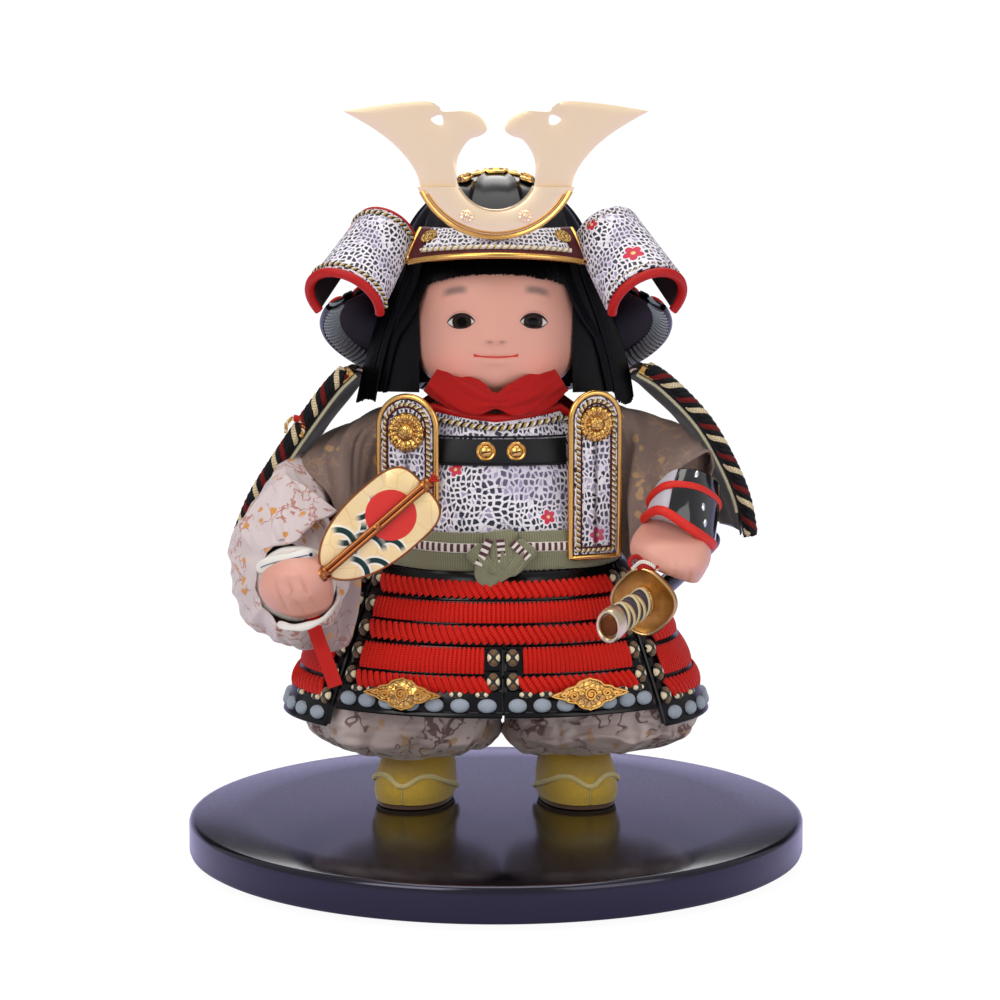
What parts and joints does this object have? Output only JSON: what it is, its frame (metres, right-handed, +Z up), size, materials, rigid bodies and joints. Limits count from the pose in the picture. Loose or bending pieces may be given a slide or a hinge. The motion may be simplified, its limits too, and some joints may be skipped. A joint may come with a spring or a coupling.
{
  "type": "samurai doll",
  "caption": "Display doll of a child warrior in lamellar armour with a horned helmet, war fan and slung sword, standing on a round lacquered stand",
  "frame": {"origin": "centre of the stand's underside", "axes": "+Z up; the doll faces -Y; its right hand, with the fan, is towards -X"},
  "size_m": [0.3, 0.3, 0.364],
  "materials": {
    "black_lacquer": "deep black lacquer, satin to gloss",
    "mustard_felt": "short mustard velour with cream piping",
    "tan_sole": "thin tan sole",
    "brocade": "woven brocade, dusty mauve with gold thread",
    "straw_core": "light stuffed body core, hidden",
    "painted_skin": "smooth painted shell-white and rose face paint",
    "printed_leather": "printed leather, navy and white leaf cells",
    "red_leather": "red piping and folded cloth",
    "black_leather": "black grained leather",
    "olive_braid": "flat braided sash, olive with a cream ladder stripe",
    "gilt_metal": "bright gilt, engraved",
    "pale_gilt_metal": "pale satin gilt",
    "red_lacing": "red silk lacing over black lames",
    "copper_brown": "copper-brown metallic paint",
    "white_cotton": "plain white cotton",
    "old_brass": "brown patinated brass",
    "hilt_wrap": "grey-violet braid wrap",
    "black_hair": "straight black silk hair"
  },
  "bodies": {
    "root": {"display_stand": "black_lacquer", "boot_left": "mustard_felt", "boot_right": "mustard_felt", "boot_sole_left": "tan_sole", "boot_sole_right": "tan_sole", "trouser_leg_left": "brocade", "trouser_leg_right": "brocade", "body_core": "straw_core", "neck": "painted_skin", "cuirass": "printed_leather", "cuirass_edge_cord": "red_leather", "chest_band": "black_leather", "sash": "olive_braid", "sash_knot": "olive_braid", "shoulder_plate_right": "printed_leather", "shoulder_plate_right_rim": "gilt_metal", "shoulder_plate_right_rosette": "gilt_metal", "shoulder_plate_left": "printed_leather", "shoulder_plate_left_rim": "gilt_metal", "shoulder_plate_left_rosette": "gilt_metal", "skirt_front": "red_lacing", "skirt_front_right_half": "red_lacing", "skirt_front_left_half": "red_lacing", "skirt_left_side": "red_lacing", "skirt_right_side": "red_lacing", "skirt_rear": "red_lacing", "skirt_fitting_right": "gilt_metal", "skirt_fitting_left": "gilt_metal", "sleeve_right": "brocade", "fan_plate": "pale_gilt_metal", "fan_rod": "copper_brown", "hand_right": "painted_skin", "cuff_right": "white_cotton", "sword_guard": "old_brass", "sword_hilt": "hilt_wrap", "sword_pommel": "pale_gilt_metal", "sword_scabbard": "black_lacquer", "sleeve_left": "brocade", "hand_left": "painted_skin", "forearm_guard": "black_lacquer", "shoulder_guard_right": "red_lacing", "shoulder_guard_left": "red_lacing", "shoulder_guard_cap_right": "gilt_metal", "shoulder_guard_cap_left": "gilt_metal", "head": "painted_skin", "scarf": "red_leather", "hair": "black_hair", "hair_fringe": "black_hair", "helmet_bowl": "black_lacquer", "helmet_crown_ring": "gilt_metal", "neck_guard": "red_lacing", "visor": "printed_leather", "visor_rim": "gilt_metal", "crest_plate": "pale_gilt_metal", "crest_horn_right": "pale_gilt_metal", "crest_horn_left": "pale_gilt_metal", "turnback_right": "printed_leather", "turnback_left": "printed_leather", "turnback_piping_right": "red_leather", "turnback_piping_left": "red_leather"}
  },
  "joints": []
}
